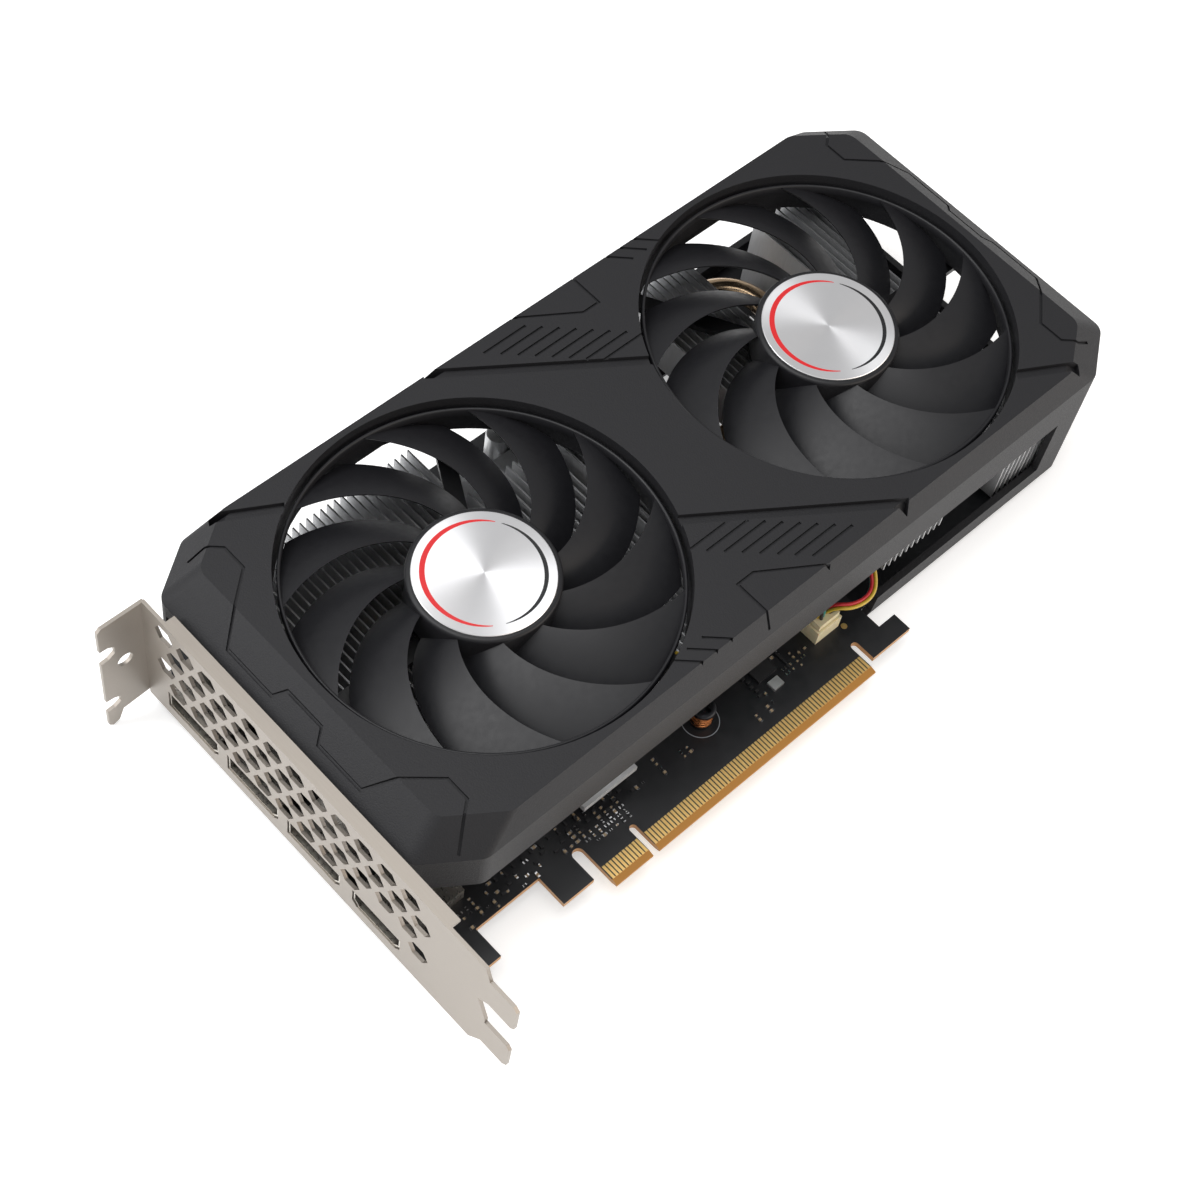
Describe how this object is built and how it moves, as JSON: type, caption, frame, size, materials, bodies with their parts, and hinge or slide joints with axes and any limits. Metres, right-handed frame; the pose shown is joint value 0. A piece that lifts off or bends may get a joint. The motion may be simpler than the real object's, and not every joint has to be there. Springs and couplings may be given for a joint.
{
  "type": "graphics card",
  "caption": "Two-slot computer graphics card with an angular shroud, two axial fans, a finned cooler and a slotted mounting bracket.",
  "frame": {"origin": "on the outer face of the slot bracket, at the level of the card edge that goes into the slot, on the solder side of the circuit board", "axes": "+X along the card away from the bracket, +Y from the card edge to the far long side, +Z from the board to the fans"},
  "size_m": [0.2368, 0.1269, 0.0467],
  "materials": {
    "gold_plate": "hard gold plate",
    "solder_mask": "black solder mask on glass fibre",
    "silicon": "polished silicon",
    "mould_compound": "moulded epoxy",
    "ferrite": "pressed iron powder",
    "capacitor_can": "drawn aluminium can",
    "silicone_pad": "soft silicone pad",
    "cream_nylon": "moulded nylon",
    "black_nylon": "moulded nylon",
    "tin_plate": "tin plate",
    "satin_steel": "satin stainless",
    "socket_steel": "drawn and plated steel",
    "aluminium_sheet": "stamped sheet",
    "nickel_copper": "nickel-plated copper",
    "charcoal_abs": "moulded with a fine texture",
    "fan_plastic": "moulded, satin",
    "yoke_steel": "pressed steel",
    "magnet": "bonded ferrite",
    "shaft_steel": "ground steel",
    "label_film": "printed silver film",
    "bronze": "sintered bronze",
    "copper_wire": "enamelled copper wire",
    "driver_mask": "green solder mask",
    "lead_pvc": "PVC insulation",
    "black_plate": "black powder coat",
    "brass_post": "turned brass",
    "black_screw": "black zinc"
  },
  "bodies": {
    "card": {"backplate": "black_plate", "bearings": "bronze", "board_screws": "black_screw", "bracket_screws": "black_screw", "capacitors": "capacitor_can", "chip_components": "mould_compound", "circuit_board": "solder_mask", "clock_crystal": "capacitor_can", "cold_plate": "aluminium_sheet", "control_chips": "mould_compound", "cooler_screws": "black_screw", "display_socket_1": "socket_steel", "display_socket_2": "socket_steel", "display_socket_3": "socket_steel", "driver_boards": "driver_mask", "edge_contacts": "gold_plate", "fan_frame_left": "black_nylon", "fan_frame_right": "black_nylon", "fan_header": "cream_nylon", "fan_leads_left": "lead_pvc", "fan_leads_right": "lead_pvc", "fan_plug": "cream_nylon", "fin_stay": "aluminium_sheet", "fins_end": "aluminium_sheet", "fins_far": "aluminium_sheet", "fins_middle": "aluminium_sheet", "fins_near": "aluminium_sheet", "fins_past": "aluminium_sheet", "gpu_die": "silicon", "gpu_substrate": "solder_mask", "hdmi_socket": "socket_steel", "heat_pipe_1": "nickel_copper", "heat_pipe_2": "nickel_copper", "heat_pipe_3": "nickel_copper", "heat_pipe_4": "nickel_copper", "io_bracket": "satin_steel", "memory_chips": "mould_compound", "power_inductors": "ferrite", "power_pins": "tin_plate", "power_socket": "black_nylon", "power_transistors": "mould_compound", "shroud": "charcoal_abs", "socket_tongues": "black_nylon", "standoffs": "brass_post", "stators": "yoke_steel", "thermal_pads": "silicone_pad", "windings": "copper_wire"},
    "rotor_left": {"impeller_left": "fan_plastic", "rotor_yoke_left": "yoke_steel", "magnet_ring_left": "magnet", "rotor_shaft_left": "shaft_steel", "hub_label_left": "label_film"},
    "rotor_right": {"impeller_right": "fan_plastic", "rotor_yoke_right": "yoke_steel", "magnet_ring_right": "magnet", "rotor_shaft_right": "shaft_steel", "hub_label_right": "label_film"}
  },
  "joints": [
    {"name": "fan_left_spin", "type": "hinge", "parent": "card", "child": "rotor_left", "pos_m": [0.0599, 0.0625, 0.03], "axis": [0, 0, 1], "continuous": true},
    {"name": "fan_right_spin", "type": "hinge", "parent": "card", "child": "rotor_right", "pos_m": [0.1691, 0.0625, 0.03], "axis": [0, 0, 1], "continuous": true}
  ]
}
